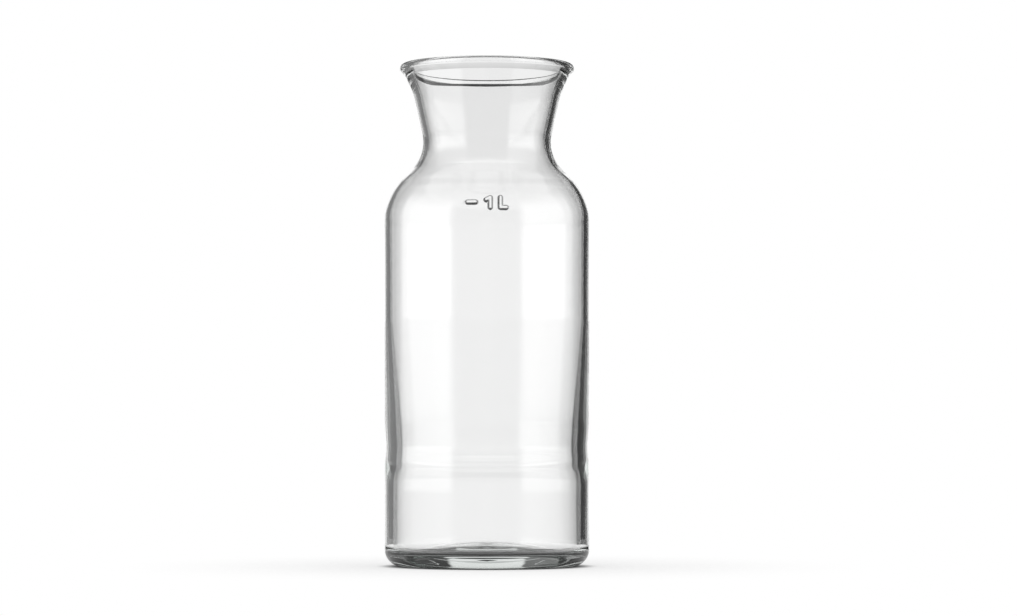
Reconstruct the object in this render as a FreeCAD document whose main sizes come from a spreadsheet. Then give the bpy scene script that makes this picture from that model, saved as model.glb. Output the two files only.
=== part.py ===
import FreeCAD, Part
import os
import Sketcher

# One-litre serving carafe: a single thick-walled piece of clear glass.
# Millimetres, +Z up, origin at the centre of the resting plane.
# A capacity mark stands on the -Y side of the shoulder.

SIZES = {
    # heights
    "total_height": 236.0,
    "lip_height": 3.0,
    "lip_blend": 2.8,
    "flare_height": 14.5,
    "neck_height": 42.5,
    "shoulder_height": 21.1,
    "thin_wall_height": 115.0,
    "groove_top": 66.0,
    "groove_height": 17.5,
    "groove_run_in": 9.0,
    "groove_run_out": 4.5,
    # outside diameters
    "lip_diameter": 82.0,
    "lip_neck_diameter": 77.0,
    "flare_diameter": 69.0,
    "throat_diameter": 57.0,
    "body_diameter": 96.8,
    "panel_diameter": 95.9,
    "groove_depth": 0.55,
    # walls
    "lip_wall": 4.2,
    "flare_wall": 2.8,
    "neck_wall": 2.7,
    "body_wall": 2.6,
    "settle_wall": 5.2,
    "heel_wall": 3.9,
    "settle_drop": 10.0,
    # base
    "base_thickness": 6.6,
    "hump_height": 5.4,
    "hump_diameter": 72.0,
    "push_up_depth": 2.2,
    "push_up_diameter": 72.0,
    # rounds
    "lip_round": 2.0,
    "lip_under_round": 1.6,
    "lip_neck_round": 1.2,
    "flare_round": 25.0,
    "throat_round": 18.5,
    "shoulder_round": 31.0,
    "groove_round": 30.0,
    "heel_round": 8.0,
    "settle_round": 45.0,
    "inner_heel_round": 3.0,
    "push_up_round": 2.0,
}

AXIS = "V_Axis"
SAME_PLACE = 1e-4


def make_sheet(doc):
    sheet = doc.addObject("Spreadsheet::Sheet", "dims")
    for row, (alias, value) in enumerate(SIZES.items(), 1):
        sheet.set(f"A{row}", alias)
        sheet.set(f"B{row}", str(value))
        sheet.setAlias(f"B{row}", alias)
    doc.recompute()
    return sheet


def horizontal_axis():
    return -1


def vertical_axis():
    return -2


def origin_point():
    return (-1, 1)


def start_of(geometry):
    return (geometry, 1)


def end_of(geometry):
    return (geometry, 2)


def centre_of(geometry):
    return (geometry, 3)


class Outline:
    """Closed half-section in the XZ plane, given as named corners (name, radius, height).

    Radius and height are sheet expressions, or None on the axis or on the resting plane.
    A stretch in domes starts at the named corner and is an arc centred on the axis.
    """

    def __init__(self, body, name, corners, domes=()):
        self.names = [corner[0] for corner in corners]
        self.sketch = body.newObject("Sketcher::SketchObject", name)
        plane = next(item for item in body.Origin.OriginFeatures if item.Role == "XZ_Plane")
        self.sketch.AttachmentSupport = [(plane, "")]
        self.sketch.MapMode = "FlatFace"
        self.ends = {}
        self.draw_lines(domes)
        self.size_corners(corners)
        body.Document.recompute()
        for start in domes:
            self.draw_dome(start)
        body.Document.recompute()

    def following(self, name):
        return self.names[(self.names.index(name) + 1) % len(self.names)]

    def draw_lines(self, domes):
        for place, name in enumerate(self.names):
            if name in domes:
                continue
            start = FreeCAD.Vector(place + 1, place + 1, 0)
            end = FreeCAD.Vector(place + 2, place + 2, 0)
            line = self.sketch.addGeometry(Part.LineSegment(start, end))
            self.join(name, start_of(line))
            self.join(self.following(name), end_of(line))

    def join(self, name, end):
        if name in self.ends:
            self.sketch.addConstraint(Sketcher.Constraint("Coincident", *self.ends[name], *end))
        else:
            self.ends[name] = end

    def size_corners(self, corners):
        for name, radius, height in corners:
            self.place("DistanceX", name, "radius", radius, vertical_axis())
            self.place("DistanceY", name, "height", height, horizontal_axis())

    def place(self, kind, name, part, expression, axis):
        if expression is None:
            self.sketch.addConstraint(Sketcher.Constraint("PointOnObject", *self.ends[name], axis))
            return
        number = self.sketch.addConstraint(Sketcher.Constraint(kind, *origin_point(), *self.ends[name], 1.0))
        label = f"{name}_{part}"
        self.sketch.renameConstraint(number, label)
        self.sketch.setExpression(f"Constraints.{label}", expression)

    def corner(self, name):
        return self.sketch.getPoint(*self.ends[name])

    def draw_dome(self, name):
        low, high = sorted((self.corner(name), self.corner(self.following(name))), key=lambda point: -point.x)
        rise = high.y - low.y
        radius = (low.x**2 + rise**2) / (2 * rise)
        centre = FreeCAD.Vector(0, high.y - radius, 0)
        middle = centre + ((low - centre) + (high - centre)).normalize() * radius
        arc = self.sketch.addGeometry(Part.Arc(low, middle, high))
        for point in (name, self.following(name)):
            at_start = self.sketch.getPoint(*start_of(arc)).isEqual(self.corner(point), SAME_PLACE)
            self.join(point, start_of(arc) if at_start else end_of(arc))
        self.sketch.addConstraint(Sketcher.Constraint("PointOnObject", *centre_of(arc), vertical_axis()))


def revolve(body, kind, name, outline):
    feature = body.newObject(kind, name)
    feature.Profile = outline.sketch
    feature.ReferenceAxis = (outline.sketch, [AXIS])
    feature.Angle = 360.0
    body.Document.recompute()
    return feature


def cut(body, name, outline):
    before = body.Shape.Volume
    feature = revolve(body, "PartDesign::Groove", name, outline)
    if body.Shape.Volume > before - 1.0:
        raise RuntimeError(f"{name} cuts nothing")
    return feature


def ring_edge(shape, point):
    for number, edge in enumerate(shape.Edges, 1):
        if edge.Degenerated or not isinstance(edge.Curve, Part.Circle):
            continue
        curve = edge.Curve
        if abs(curve.Radius - point.x) < SAME_PLACE and abs(curve.Center.z - point.y) < SAME_PLACE:
            return f"Edge{number}"
    raise RuntimeError(f"no edge of radius {point.x} at height {point.y}")


def round_off(body, name, radius, *places):
    base = body.Tip
    edges = [ring_edge(base.Shape, outline.corner(corner)) for outline, corner in places]
    feature = body.newObject("PartDesign::Fillet", name)
    feature.Base = (base, edges)
    feature.setExpression("Radius", radius)
    body.Document.recompute()
    if not feature.isValid():
        raise RuntimeError(f"{name} can't be rounded")


def outer_outline(body):
    neck = "dims.total_height - dims.neck_height"
    lip = "dims.total_height - dims.lip_height"
    return Outline(body, "outer_outline", [
        ("foot_centre", None, None),
        ("heel", "dims.panel_diameter / 2", None),
        ("band", "dims.panel_diameter / 2", "dims.groove_top - dims.groove_height"),
        ("groove_low", "dims.panel_diameter / 2 - dims.groove_depth",
         "dims.groove_top - dims.groove_height + dims.groove_run_out"),
        ("groove_high", "dims.panel_diameter / 2 - dims.groove_depth",
         "dims.groove_top - dims.groove_run_in"),
        ("panel", "dims.panel_diameter / 2", "dims.groove_top"),
        ("shoulder", "dims.body_diameter / 2", f"{neck} - dims.shoulder_height"),
        ("throat", "dims.throat_diameter / 2", neck),
        ("flare", "dims.flare_diameter / 2", "dims.total_height - dims.flare_height"),
        ("lip_neck", "dims.lip_neck_diameter / 2", f"{lip} - dims.lip_blend"),
        ("lip_under", "dims.lip_diameter / 2", lip),
        ("lip_top", "dims.lip_diameter / 2", "dims.total_height"),
        ("mouth_centre", None, "dims.total_height"),
    ])


def cavity_outline(body):
    neck = "dims.total_height - dims.neck_height"
    settle = "dims.groove_top - dims.groove_height + dims.groove_run_out"
    taper = (f"(dims.body_diameter - dims.panel_diameter) / 2"
             f" * (dims.thin_wall_height - dims.groove_top) / ({neck} - dims.shoulder_height - dims.groove_top)")
    return Outline(body, "cavity_outline", [
        ("hump_top", None, "dims.base_thickness + dims.hump_height"),
        ("hump_foot", "dims.hump_diameter / 2", "dims.base_thickness"),
        ("floor", "dims.panel_diameter / 2 - dims.heel_wall", "dims.base_thickness"),
        ("settle_low", "dims.panel_diameter / 2 - dims.heel_wall", f"{settle} - dims.settle_drop"),
        ("settle", "dims.panel_diameter / 2 - dims.groove_depth - dims.settle_wall", settle),
        ("thin_wall", f"dims.panel_diameter / 2 + {taper} - dims.body_wall", "dims.thin_wall_height"),
        ("shoulder", "dims.body_diameter / 2 - dims.body_wall", f"{neck} - dims.shoulder_height"),
        ("throat", "dims.throat_diameter / 2 - dims.neck_wall", neck),
        ("flare", "dims.flare_diameter / 2 - dims.flare_wall", "dims.total_height - dims.flare_height"),
        ("mouth", "dims.lip_diameter / 2 - dims.lip_wall", "dims.total_height"),
        ("mouth_centre", None, "dims.total_height"),
    ], domes=["hump_top"])


def push_up_outline(body):
    return Outline(body, "push_up_outline", [
        ("foot_centre", None, None),
        ("push_up_foot", "dims.push_up_diameter / 2", None),
        ("push_up_top", None, "dims.push_up_depth"),
    ], domes=["push_up_foot"])


def make_carafe(doc):
    body = doc.addObject("PartDesign::Body", "carafe")
    body.Label = "carafe"
    outer = outer_outline(body)
    revolve(body, "PartDesign::Revolution", "outer_form", outer)
    cavity = cavity_outline(body)
    cut(body, "cavity", cavity)
    push_up = push_up_outline(body)
    cut(body, "push_up", push_up)

    round_off(body, "outer_shoulder", "dims.shoulder_round", (outer, "shoulder"))
    round_off(body, "outer_throat", "dims.throat_round", (outer, "throat"))
    round_off(body, "outer_flare", "dims.flare_round", (outer, "flare"))
    round_off(body, "inner_shoulder", "dims.shoulder_round - dims.body_wall", (cavity, "shoulder"))
    round_off(body, "inner_throat", "dims.throat_round + dims.neck_wall", (cavity, "throat"))
    round_off(body, "inner_flare", "dims.flare_round + dims.flare_wall", (cavity, "flare"))
    round_off(body, "lip_under", "dims.lip_under_round", (outer, "lip_under"))
    round_off(body, "lip_neck", "dims.lip_neck_round", (outer, "lip_neck"))
    round_off(body, "lip_top", "dims.lip_round", (outer, "lip_top"), (cavity, "mouth"))
    round_off(body, "groove", "dims.groove_round",
              (outer, "band"), (outer, "groove_low"), (outer, "groove_high"), (outer, "panel"))
    round_off(body, "settle_ring", "dims.settle_round",
              (cavity, "settle_low"), (cavity, "settle"), (cavity, "thin_wall"))
    round_off(body, "inner_heel", "dims.inner_heel_round", (cavity, "floor"))
    round_off(body, "heel", "dims.heel_round", (outer, "heel"))
    round_off(body, "resting_ring", "dims.push_up_round", (push_up, "push_up_foot"))
    return body


def check_document(doc, parts):
    for item in doc.Objects:
        if "Invalid" in item.State or "Error" in item.State:
            raise RuntimeError(f"{item.Label} failed: {item.State}")
    for part in parts:
        if part.Shape.isNull() or not part.Shape.isValid():
            raise RuntimeError(f"{part.Label} has no valid shape")
        if len(part.Shape.Solids) != 1:
            raise RuntimeError(f"{part.Label} is not one solid")


def main():
    doc = FreeCAD.newDocument("carafe_model")
    make_sheet(doc)
    parts = [make_carafe(doc)]
    doc.recompute()
    check_document(doc, parts)
    os.makedirs("parts", exist_ok=True)
    for part in parts:
        part.Shape.exportStep(f"parts/{part.Label}.step")
        box = part.Shape.optimalBoundingBox()
        print(f"{part.Label}: {box.XLength:.2f} x {box.YLength:.2f} x {box.ZLength:.2f} mm, "
              f"{part.Shape.Volume / 1000:.1f} ml of glass")


main()
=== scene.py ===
import bpy
import bmesh
import math
from mathutils import Matrix, Vector, noise


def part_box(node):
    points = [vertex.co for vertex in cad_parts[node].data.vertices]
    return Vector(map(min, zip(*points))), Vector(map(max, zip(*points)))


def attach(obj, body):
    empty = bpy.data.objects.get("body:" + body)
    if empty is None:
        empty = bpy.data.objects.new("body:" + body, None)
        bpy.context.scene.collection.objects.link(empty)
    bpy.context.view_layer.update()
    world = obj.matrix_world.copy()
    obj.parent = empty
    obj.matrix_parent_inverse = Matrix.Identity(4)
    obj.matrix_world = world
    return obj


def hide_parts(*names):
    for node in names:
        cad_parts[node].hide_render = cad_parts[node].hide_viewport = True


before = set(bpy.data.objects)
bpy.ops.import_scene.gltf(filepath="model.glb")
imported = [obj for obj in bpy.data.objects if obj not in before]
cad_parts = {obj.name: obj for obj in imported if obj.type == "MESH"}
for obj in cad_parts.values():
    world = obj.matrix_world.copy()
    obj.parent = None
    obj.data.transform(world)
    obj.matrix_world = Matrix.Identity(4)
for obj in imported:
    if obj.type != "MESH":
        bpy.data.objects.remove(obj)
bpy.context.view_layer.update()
mm = 0.001

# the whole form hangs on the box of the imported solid
low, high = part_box("carafe")
totalHeight = (high.z - low.z) / mm
print("frame loaded, carafe", round(totalHeight, 1), "mm tall")


# glass body

carafe = {  # millimetres, radii outside unless a wall is named
    "lipRadius": 41.0, "lipNeckRadius": 38.5, "lipHeight": 3.0, "lipBlend": 2.8, "lipWall": 4.2,
    "flareRadius": 34.5, "flareHeight": 14.5, "flareWall": 2.8,
    "throatRadius": 28.5, "neckHeight": 42.5, "neckWall": 2.7,
    "bodyRadius": 48.4, "shoulderHeight": 21.1, "bodyWall": 2.6, "thinWallHeight": 115.0,
    "panelRadius": 47.95, "grooveDepth": 0.55,
    "grooveTop": 66.0, "grooveHeight": 17.5, "grooveRunIn": 9.0, "grooveRunOut": 4.5,
    "settleWall": 5.2, "settleDrop": 10.0, "heelWall": 3.9,
    "baseThickness": 6.6, "humpHeight": 5.4, "humpRadius": 36.0,
    "pushUpDepth": 2.2, "pushUpRadius": 36.0,
    "lipRound": 2.0, "lipUnderRound": 1.6, "lipNeckRound": 1.2,
    "flareRound": 25.0, "throatRound": 18.5, "shoulderRound": 31.0,
    "grooveRound": 30.0, "settleRound": 45.0,
    "heelRound": 8.0, "innerHeelRound": 3.0, "pushUpRound": 2.0,
    "domeShare": 0.98,  # share of its shorter tangent that the round of a dome takes
    "rowStep": 5.0,  # longest stretch of the profile left uncut
    "roundStep": 7.0, "roundCuts": 3,  # degrees turned by one cut of a round, and the fewest cuts
    "shoulderCuts": 96,  # fine rows under the capacity mark
    "markSector": 24.0, "markCuts": 84,  # degrees of fine columns round the mark
    "restCuts": 180,
    "weld": 0.002, "sliver": 0.001,  # points closer than this are joined
}


def domeCorner(radius, rise):
    # where the tangents at the crown and at the foot of a low dome meet
    sphere = (radius**2 + rise**2) / (2 * rise)
    return radius - rise / math.tan(math.asin(radius / sphere))


def carafeCorners(c):
    # radius, height and round of every corner, up the outside and down the inside
    neck = totalHeight - c["neckHeight"]
    shoulder = neck - c["shoulderHeight"]
    flare = totalHeight - c["flareHeight"]
    lip = totalHeight - c["lipHeight"]
    grooveRadius = c["panelRadius"] - c["grooveDepth"]
    grooveLow = c["grooveTop"] - c["grooveHeight"]
    settle = grooveLow + c["grooveRunOut"]
    floorRadius = c["panelRadius"] - c["heelWall"]
    innerBody = c["bodyRadius"] - c["bodyWall"]
    taper = (c["bodyRadius"] - c["panelRadius"]) / (shoulder - c["grooveTop"])
    thinWall = c["panelRadius"] + taper * (c["thinWallHeight"] - c["grooveTop"]) - c["bodyWall"]
    humpTop = c["baseThickness"] + c["humpHeight"]
    pushUpCorner = domeCorner(c["pushUpRadius"], c["pushUpDepth"])
    humpCorner = domeCorner(c["humpRadius"], c["humpHeight"])
    return [
        (0, c["pushUpDepth"], 0),
        (pushUpCorner, c["pushUpDepth"], "dome"),
        (c["pushUpRadius"], 0, c["pushUpRound"]),
        (c["panelRadius"], 0, c["heelRound"]),
        (c["panelRadius"], grooveLow, c["grooveRound"]),
        (grooveRadius, settle, c["grooveRound"]),
        (grooveRadius, c["grooveTop"] - c["grooveRunIn"], c["grooveRound"]),
        (c["panelRadius"], c["grooveTop"], c["grooveRound"]),
        (c["bodyRadius"], shoulder, c["shoulderRound"]),
        (c["throatRadius"], neck, c["throatRound"]),
        (c["flareRadius"], flare, c["flareRound"]),
        (c["lipNeckRadius"], lip - c["lipBlend"], c["lipNeckRound"]),
        (c["lipRadius"], lip, c["lipUnderRound"]),
        (c["lipRadius"], totalHeight, c["lipRound"]),
        (c["lipRadius"] - c["lipWall"], totalHeight, c["lipRound"]),
        (c["flareRadius"] - c["flareWall"], flare, c["flareRound"] + c["flareWall"]),
        (c["throatRadius"] - c["neckWall"], neck, c["throatRound"] + c["neckWall"]),
        (innerBody, shoulder, c["shoulderRound"] - c["bodyWall"]),
        (thinWall, c["thinWallHeight"], c["settleRound"]),
        (grooveRadius - c["settleWall"], settle, c["settleRound"]),
        (floorRadius, settle - c["settleDrop"], c["settleRound"]),
        (floorRadius, c["baseThickness"], c["innerHeelRound"]),
        (c["humpRadius"], c["baseThickness"], 0),
        (humpCorner, humpTop, "dome"),
        (0, humpTop, 0),
    ]


def roundCorner(bm, vert, before, after, rounding, cuts):
    # an arc as a vertex bevel, its middle as far from the corner as a circle's would be
    inward = (before - vert.co).normalized()
    outward = (after - vert.co).normalized()
    turn = math.pi - inward.angle(outward)
    if rounding == "dome":
        shorter = min((before - vert.co).length, (after - vert.co).length)
        offset = shorter * carafe["domeShare"]
    else:
        sag = rounding * mm * (1 / math.cos(turn / 2) - 1)
        offset = sag / ((2 - math.sqrt(2)) * math.sin(turn / 2))
    steps = round(math.degrees(turn) / carafe["roundStep"]) + 1
    segments = cuts or max(carafe["roundCuts"], steps)
    bmesh.ops.bevel(bm, geom=[vert], offset=offset, offset_type="OFFSET", affect="VERTICES",
                    segments=segments, profile=0.5, material=-1)


def carafeProfile(bm):
    corners = carafeCorners(carafe)
    places = [Vector((radius * mm, 0, height * mm)) for radius, height, _ in corners]
    verts = [bm.verts.new(place) for place in places]
    for start, end in zip(verts, verts[1:]):
        bm.edges.new((start, end))
    for number, (_, _, rounding) in enumerate(corners):
        if not rounding:
            continue
        onShoulder = rounding == carafe["shoulderRound"]
        roundCorner(bm, verts[number], places[number - 1], places[number + 1], rounding,
                    carafe["shoulderCuts"] if onShoulder else 0)
    for edge in list(bm.edges):
        cuts = int(edge.calc_length() / (carafe["rowStep"] * mm))
        if cuts:
            bmesh.ops.subdivide_edges(bm, edges=[edge], cuts=cuts)


def turnCarafe():
    bm = bmesh.new()
    carafeProfile(bm)
    sector = math.radians(carafe["markSector"])
    start = Matrix.Rotation(-math.pi / 2 - sector / 2, 3, "Z")  # the mark faces -Y
    bmesh.ops.rotate(bm, cent=(0, 0, 0), matrix=start, verts=bm.verts[:])
    profile = bm.verts[:] + bm.edges[:]
    around = {"cent": (0, 0, 0), "axis": (0, 0, 1), "dvec": (0, 0, 0), "use_duplicate": False}
    fine = bmesh.ops.spin(bm, geom=profile, angle=sector, steps=carafe["markCuts"], **around)
    bmesh.ops.spin(bm, geom=fine["geom_last"], angle=2 * math.pi - sector,
                   steps=carafe["restCuts"], **around)
    bmesh.ops.remove_doubles(bm, verts=bm.verts[:], dist=carafe["weld"] * mm)
    bmesh.ops.dissolve_degenerate(bm, edges=bm.edges[:], dist=carafe["sliver"] * mm)
    bmesh.ops.recalc_face_normals(bm, faces=bm.faces[:])
    return bm


# uneven inside wall, as blown glass has

wave = {  # millimetres
    "lift": 0.10, "acrossScale": 26.0, "alongScale": 90.0,
    "lowest": 16.0, "highest": 172.0, "fade": 12.0,
    "facing": 0.5,  # how squarely a point has to look at the axis
    "onAxis": 0.001,
}


def smoothRamp(value, start, end):
    t = min(1.0, max(0.0, (value - start) / (end - start)))
    return t * t * (3 - 2 * t)


def outwardLean(vert):
    # above 0 on the outside, below 0 on the inside
    return vert.normal.x * vert.co.x + vert.normal.y * vert.co.y


def waveWall(bm):
    across, along = wave["acrossScale"], wave["alongScale"]
    bm.normal_update()
    for vert in bm.verts:
        radius = math.hypot(vert.co.x, vert.co.y)
        height = vert.co.z / mm
        if radius < wave["onAxis"] * mm or outwardLean(vert) > -wave["facing"] * radius:
            continue
        fade = smoothRamp(height, wave["lowest"], wave["lowest"] + wave["fade"])
        fade *= 1 - smoothRamp(height, wave["highest"] - wave["fade"], wave["highest"])
        place = Vector((vert.co.x / across, vert.co.y / across, vert.co.z / along))
        lift = noise.noise(place / mm) * wave["lift"] * mm * fade
        vert.co.x *= 1 + lift / radius
        vert.co.y *= 1 + lift / radius


# capacity mark: a dash, a one and an L, raised in the glass in plain round strokes

mark = {
    "height": 167.7, "tall": 7.0, "wide": 14.0,  # reach up, down and to both sides
    "lift": 0.9, "strokeRadius": 1.45, "core": 0.3,
    "strokes": [  # ends in millimetres right of the front line and above the mark's middle
        ((-8.9, 0.2), (-5.2, 0.2)),
        ((-0.4, 1.2), (1.5, 2.2)), ((1.5, 2.2), (1.5, -2.3)),
        ((6.1, 2.3), (6.1, -2.3)), ((6.1, -2.3), (8.8, -2.3)),
    ],
}


def strokeDistance(point, start, end):
    along = end - start
    t = min(1.0, max(0.0, (point - start).dot(along) / along.length_squared))
    return (point - start - along * t).length


def raiseMark(bm):
    bm.normal_update()
    strokes = [(Vector(start), Vector(end)) for start, end in mark["strokes"]]
    lifts = []
    for vert in bm.verts:
        radius = math.hypot(vert.co.x, vert.co.y)
        if vert.co.y > 0 or outwardLean(vert) < 0:
            continue
        across = math.atan2(vert.co.x, -vert.co.y) * radius / mm
        point = Vector((across, vert.co.z / mm - mark["height"]))
        if abs(point.y) > mark["tall"] or abs(across) > mark["wide"]:
            continue
        distance = min(strokeDistance(point, *stroke) for stroke in strokes)
        lift = 1 - smoothRamp(distance, mark["core"], mark["strokeRadius"])
        if lift > 0:
            lifts.append((vert, vert.normal * lift * mark["lift"] * mm))
    for vert, move in lifts:
        vert.co += move


# clear glass

glass = {
    "ior": 1.52, "tint": (0.86, 0.88, 0.87), "absorption": 20.0,
    "roughness": (0.0, 0.03), "smudgeScale": 14.0, "smudgeDetail": 4, "smudgeRange": (0.5, 0.8),
    "bumpScale": 45.0, "bumpDetail": 1, "bumpStretch": 0.25, "bump": 0.02, "bumpDepth": 0.001,
}


def clearGlass():
    material = bpy.data.materials.new("clearGlass")
    material.use_nodes = True
    nodes, links = material.node_tree.nodes, material.node_tree.links
    nodes.clear()
    out = nodes.new("ShaderNodeOutputMaterial")
    shader = nodes.new("ShaderNodeBsdfPrincipled")
    shader.inputs["Base Color"].default_value = (1, 1, 1, 1)
    shader.inputs["Metallic"].default_value = 0
    shader.inputs["Transmission Weight"].default_value = 1
    shader.inputs["IOR"].default_value = glass["ior"]
    links.new(shader.outputs["BSDF"], out.inputs["Surface"])
    coords = nodes.new("ShaderNodeTexCoord")
    # faint smudges in the gloss
    smudge = nodes.new("ShaderNodeTexNoise")
    smudge.inputs["Scale"].default_value = glass["smudgeScale"]
    smudge.inputs["Detail"].default_value = glass["smudgeDetail"]
    links.new(coords.outputs["Object"], smudge.inputs["Vector"])
    spread = nodes.new("ShaderNodeMapRange")
    for ends, values in (("From", glass["smudgeRange"]), ("To", glass["roughness"])):
        spread.inputs[ends + " Min"].default_value = values[0]
        spread.inputs[ends + " Max"].default_value = values[1]
    links.new(smudge.outputs["Fac"], spread.inputs["Value"])
    links.new(spread.outputs["Result"], shader.inputs["Roughness"])
    # slight ripple of a fire-polished skin, drawn out along the height
    stretch = nodes.new("ShaderNodeMapping")
    stretch.inputs["Scale"].default_value = (1, 1, glass["bumpStretch"])
    links.new(coords.outputs["Object"], stretch.inputs["Vector"])
    ripple = nodes.new("ShaderNodeTexNoise")
    ripple.inputs["Scale"].default_value = glass["bumpScale"]
    ripple.inputs["Detail"].default_value = glass["bumpDetail"]
    links.new(stretch.outputs["Vector"], ripple.inputs["Vector"])
    bump = nodes.new("ShaderNodeBump")
    bump.inputs["Strength"].default_value = glass["bump"]
    bump.inputs["Distance"].default_value = glass["bumpDepth"]
    links.new(ripple.outputs["Fac"], bump.inputs["Height"])
    links.new(bump.outputs["Normal"], shader.inputs["Normal"])
    # thickness darkens a little
    volume = nodes.new("ShaderNodeVolumeAbsorption")
    volume.inputs["Color"].default_value = (*glass["tint"], 1)
    volume.inputs["Density"].default_value = glass["absorption"]
    links.new(volume.outputs["Volume"], out.inputs["Volume"])
    return material


def makeCarafe():
    bm = turnCarafe()
    waveWall(bm)
    raiseMark(bm)
    bmesh.ops.recalc_face_normals(bm, faces=bm.faces[:])
    for face in bm.faces:
        face.smooth = True
    mesh = bpy.data.meshes.new("carafeGlass")
    bm.to_mesh(mesh)
    bm.free()
    mesh.materials.append(clearGlass())
    piece = bpy.data.objects.new("carafeGlass", mesh)
    bpy.context.collection.objects.link(piece)
    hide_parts("carafe")
    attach(piece, "root")
    return piece


piece = makeCarafe()
print("carafe turned,", len(piece.data.polygons), "faces")


# small node helpers for the floor and the studio

def feed(tree, socket, value):
    if isinstance(value, (int, float)):
        socket.default_value = value
    else:
        tree.links.new(value, socket)


def mathNode(tree, operation, *values):
    node = tree.nodes.new("ShaderNodeMath")
    node.operation = operation
    for socket, value in zip(node.inputs, values):
        feed(tree, socket, value)
    return node.outputs[0]


def mixNode(tree, share, first, second):
    node = tree.nodes.new("ShaderNodeMix")
    node.data_type = "FLOAT"
    for name, value in (("Factor", share), ("A", first), ("B", second)):
        feed(tree, node.inputs[name], value)
    return node.outputs["Result"]


def rampNode(tree, value, start, end):
    node = tree.nodes.new("ShaderNodeMapRange")
    node.interpolation_type = "SMOOTHSTEP"
    tree.links.new(value, node.inputs["Value"])
    node.inputs["From Min"].default_value = start
    node.inputs["From Max"].default_value = end
    return node.outputs["Result"]


# pale floor, part shaded and part glowing, so that the plain floor is white and the shadow stays

floorSettings = {  # metres
    "radius": 0.20, "sides": 96, "shade": 0.5,  # share of the white that takes the shadow
    "paintedShadeMiddleStart": 0.024, "paintedShadeMiddleEnd": 0.036, "paintedShadeMiddleTone": 0.9,  # painted shade, light, under the arched middle of the base
    "paintedFootShadowStart": 0.040, "paintedFootShadowEnd": 0.053, "paintedFootShadowTone": 0.05,  # painted shadow, darker where the foot ring stands
    "openStart": 0.08, "openEnd": 0.19,  # shading fades out towards the rim
}


def makeFloor():
    bm = bmesh.new()
    bmesh.ops.create_circle(bm, cap_ends=True, segments=floorSettings["sides"],
                            radius=floorSettings["radius"])
    mesh = bpy.data.meshes.new("floor")
    bm.to_mesh(mesh)
    bm.free()
    material = bpy.data.materials.new("paleFloor")
    material.use_nodes = True
    tree = material.node_tree
    nodes, links = tree.nodes, tree.links
    nodes.clear()
    out = nodes.new("ShaderNodeOutputMaterial")
    coords = nodes.new("ShaderNodeTexCoord")
    length = nodes.new("ShaderNodeVectorMath")
    length.operation = "LENGTH"
    links.new(coords.outputs["Object"], length.inputs[0])
    reach = length.outputs["Value"]
    # painted shadow: the floor's colour and glow darken in a ring under the foot, less in the
    # middle
    pastPaintedFootShadow = rampNode(tree, reach, floorSettings["paintedFootShadowStart"], floorSettings["paintedFootShadowEnd"])
    paintedShadeMiddle = rampNode(tree, reach, floorSettings["paintedShadeMiddleStart"], floorSettings["paintedShadeMiddleEnd"])
    paintedShadowTone = mixNode(tree, paintedShadeMiddle, floorSettings["paintedShadeMiddleTone"], floorSettings["paintedFootShadowTone"])
    paintedShadowTone = mixNode(tree, pastPaintedFootShadow, paintedShadowTone, 1.0)
    shaded = rampNode(tree, reach, floorSettings["openEnd"], floorSettings["openStart"])
    shaded = mathNode(tree, "MULTIPLY", shaded, floorSettings["shade"])
    glowing = mathNode(tree, "SUBTRACT", 1.0, shaded)
    shade = nodes.new("ShaderNodeBsdfDiffuse")
    links.new(mathNode(tree, "MULTIPLY", shaded, paintedShadowTone), shade.inputs["Color"])
    glow = nodes.new("ShaderNodeEmission")
    links.new(mathNode(tree, "MULTIPLY", glowing, paintedShadowTone), glow.inputs["Strength"])
    both = nodes.new("ShaderNodeAddShader")
    links.new(shade.outputs[0], both.inputs[0])
    links.new(glow.outputs[0], both.inputs[1])
    links.new(both.outputs[0], out.inputs["Surface"])
    mesh.materials.append(material)
    floor = bpy.data.objects.new("floor", mesh)
    bpy.context.collection.objects.link(floor)


makeFloor()
print("floor laid")


# studio in the world shader: plain white for the camera; through the glass a white backdrop with
# dark cards beside it; mirrored in the glass two tall soft boxes at the sides

studio = {  # degrees round the object and above the horizon; tone 1 is white
    "repeat": 45.0,  # backdrop and cards come again at every quarter turn
    "backHalf": 17.0, "cardEnd": 38.0, "edge": 1.5,
    "cardLeft": 0.30, "cardRight": 0.05, "sideEdge": 0.1,
    "fallStart": 2.0, "fallLeft": 0.88, "fallRight": 0.68,
    "fadeStart": 3.6, "fadeEnd": 5.4, "fade": 0.09,  # the backdrop darkens a little upwards
    "ceilingStart": 15.0, "ceilingEnd": 23.0, "ceiling": 0.05,
    "farTableStart": -22.0, "farTableEnd": -27.0, "farTable": 0.04,
    "farTableHalf": 30.0, "farTableEdge": 5.0,
    "boxStart": 67.0, "boxEnd": 138.0, "boxEdge": 5.0, "boxTop": 28.0, "boxTopEdge": 10.0,
    "boxLeft": 1.45, "boxRight": 1.1,
    "boxFoot": 0.4, "gapStart": -1.2, "gap": 0.33, "gapEnd": -3.0,
    "tableStart": -9.0, "tableLeft": 0.6, "tableRight": 0.45,
    "dimLeft": 0.20, "dimRight": 0.05,  # what the glass mirrors elsewhere
    "front": 0.16, "frontStart": -8.0, "frontFull": -3.0,
    "fill": 1.0,  # light on the floor
}


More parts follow.
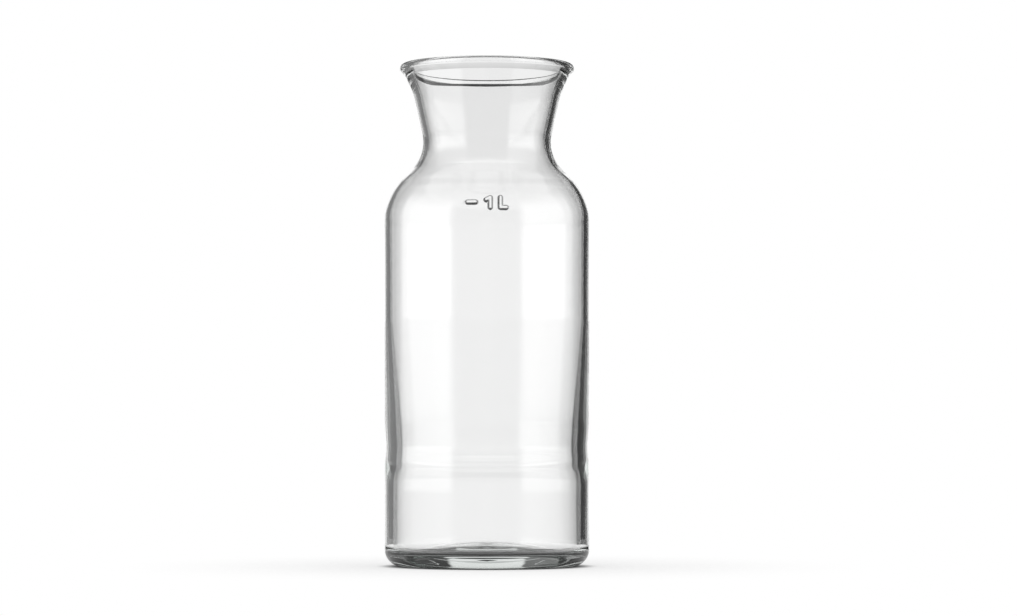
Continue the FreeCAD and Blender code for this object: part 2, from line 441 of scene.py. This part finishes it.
def makeStudio():
    world = bpy.data.worlds.new("studio")
    bpy.context.scene.world = world
    world.use_nodes = True
    tree = world.node_tree
    tree.nodes.clear()
    out = tree.nodes.new("ShaderNodeOutputWorld")
    background = tree.nodes.new("ShaderNodeBackground")
    background.inputs["Color"].default_value = (1, 1, 1, 1)
    tree.links.new(background.outputs[0], out.inputs["Surface"])
    coords = tree.nodes.new("ShaderNodeTexCoord")
    split = tree.nodes.new("ShaderNodeSeparateXYZ")
    tree.links.new(coords.outputs["Generated"], split.inputs[0])
    x, y, z = split.outputs
    turned = mathNode(tree, "DEGREES", mathNode(tree, "ARCTAN2", x, y))  # 0 is straight behind
    aside = mathNode(tree, "ABSOLUTE", turned)
    lift = mathNode(tree, "DEGREES", mathNode(tree, "ARCSINE", z))
    side = rampNode(tree, x, -studio["sideEdge"], studio["sideEdge"])
    backHalf, cardEnd, edge = studio["backHalf"], studio["cardEnd"], studio["edge"]

    quarter = mathNode(tree, "PINGPONG", aside, studio["repeat"])
    beforeEnd = rampNode(tree, quarter, cardEnd + edge, cardEnd - edge)
    pastBackdrop = rampNode(tree, quarter, backHalf - edge, backHalf + edge)
    card = mathNode(tree, "MULTIPLY", pastBackdrop, beforeEnd)
    cardTone = mixNode(tree, side, studio["cardLeft"], studio["cardRight"])
    # the backdrop falls off towards the cards, more on the right
    fall = rampNode(tree, quarter, studio["fallStart"], backHalf)
    fall = mathNode(tree, "MULTIPLY", fall, beforeEnd)
    fallTone = mixNode(tree, side, studio["fallLeft"], studio["fallRight"])
    through = mixNode(tree, card, mixNode(tree, fall, 1.0, fallTone), cardTone)
    upward = rampNode(tree, lift, studio["fadeStart"], studio["fadeEnd"])
    faded = mixNode(tree, upward, 1.0, 1.0 - studio["fade"])
    through = mathNode(tree, "MULTIPLY", through, faded)
    overhead = rampNode(tree, lift, studio["ceilingStart"], studio["ceilingEnd"])
    ceiling = mixNode(tree, overhead, 1.0, studio["ceiling"])
    through = mathNode(tree, "MULTIPLY", through, ceiling)
    # the far table, seen steeply through the glass, is dark
    farHalf, farEdge = studio["farTableHalf"], studio["farTableEdge"]
    deep = mathNode(tree, "MULTIPLY",
                    rampNode(tree, lift, studio["farTableStart"], studio["farTableEnd"]),
                    rampNode(tree, aside, farHalf + farEdge, farHalf - farEdge))
    farTable = mixNode(tree, deep, 1.0, studio["farTable"])
    through = mathNode(tree, "MULTIPLY", through, farTable)

    boxStart, boxEnd, boxEdge = studio["boxStart"], studio["boxEnd"], studio["boxEdge"]
    boxTop, topEdge = studio["boxTop"], studio["boxTopEdge"]
    softBox = mathNode(tree, "MULTIPLY",
                       rampNode(tree, aside, boxStart - boxEdge, boxStart + boxEdge),
                       rampNode(tree, aside, boxEnd + boxEdge, boxEnd - boxEdge))
    underTop = rampNode(tree, lift, boxTop + topEdge, boxTop - topEdge)
    softBox = mathNode(tree, "MULTIPLY", softBox, underTop)
    # below its foot, past a dim gap, the box still lights the table, more on the left
    table = mixNode(tree, side, studio["tableLeft"], studio["tableRight"])
    near = rampNode(tree, lift, studio["gapEnd"], studio["tableStart"])
    lit = rampNode(tree, lift, studio["gapStart"], studio["boxFoot"])
    belowFoot = mixNode(tree, near, studio["gap"], table)
    softBox = mathNode(tree, "MULTIPLY", softBox, mixNode(tree, lit, belowFoot, 1.0))
    boxTone = mixNode(tree, side, studio["boxLeft"], studio["boxRight"])
    # the room behind the camera, dark upwards and on the table
    front = rampNode(tree, aside, boxEnd - boxEdge, boxEnd + boxEdge)
    frontTone = mixNode(tree, upward, studio["front"], 0.0)
    front = mathNode(tree, "MULTIPLY", front, frontTone)
    aboveTable = rampNode(tree, lift, studio["frontStart"], studio["frontFull"])
    front = mathNode(tree, "MULTIPLY", front, aboveTable)
    dim = mixNode(tree, side, studio["dimLeft"], studio["dimRight"])
    dim = mathNode(tree, "ADD", dim, front)
    behind = rampNode(tree, aside, backHalf + edge, backHalf - edge)
    behind = mathNode(tree, "MULTIPLY", behind, ceiling)
    mirrored = mathNode(tree, "MULTIPLY_ADD", softBox, boxTone, dim)
    mirrored = mathNode(tree, "MAXIMUM", mirrored, behind)

    path = tree.nodes.new("ShaderNodeLightPath")
    reflected = mathNode(tree, "MINIMUM", path.outputs["Glossy Depth"], 1.0)
    level = mixNode(tree, path.outputs["Is Transmission Ray"], studio["fill"], through)
    level = mixNode(tree, reflected, level, mirrored)
    level = mixNode(tree, path.outputs["Is Camera Ray"], level, 1.0)
    tree.links.new(level, background.inputs["Strength"])


makeStudio()
print("studio lit")


# camera: low and far off, a little above the table

photo = {"width": 1017, "height": 616, "axisX": 487.0, "footY": 565.7, "mmPerPixel": 0.470}
cameraSettings = {"distance": 1650.0, "height": 62.0, "sensor": 36.0, "clip": (0.1, 20.0)}


def makeCamera():
    data = bpy.data.cameras.new("camera")
    camera = bpy.data.objects.new("camera", data)
    bpy.context.collection.objects.link(camera)
    bpy.context.scene.camera = camera
    scale = photo["mmPerPixel"] * mm
    target = Vector(((photo["width"] / 2 - photo["axisX"]) * scale, 0,
                     (photo["footY"] - photo["height"] / 2) * scale))
    camera.location = (0, -cameraSettings["distance"] * mm, cameraSettings["height"] * mm)
    gaze = target - camera.location
    camera.rotation_euler = gaze.to_track_quat("-Z", "Y").to_euler()
    data.sensor_width = cameraSettings["sensor"]
    data.lens = data.sensor_width * gaze.length / (photo["width"] * scale)
    data.clip_start, data.clip_end = cameraSettings["clip"]


makeCamera()

scene = bpy.context.scene
scene.view_settings.view_transform = "Standard"
# light passes many faces of glass
scene.cycles.max_bounces = 32
scene.cycles.transmission_bounces = 32
scene.cycles.glossy_bounces = 24
print("camera set")
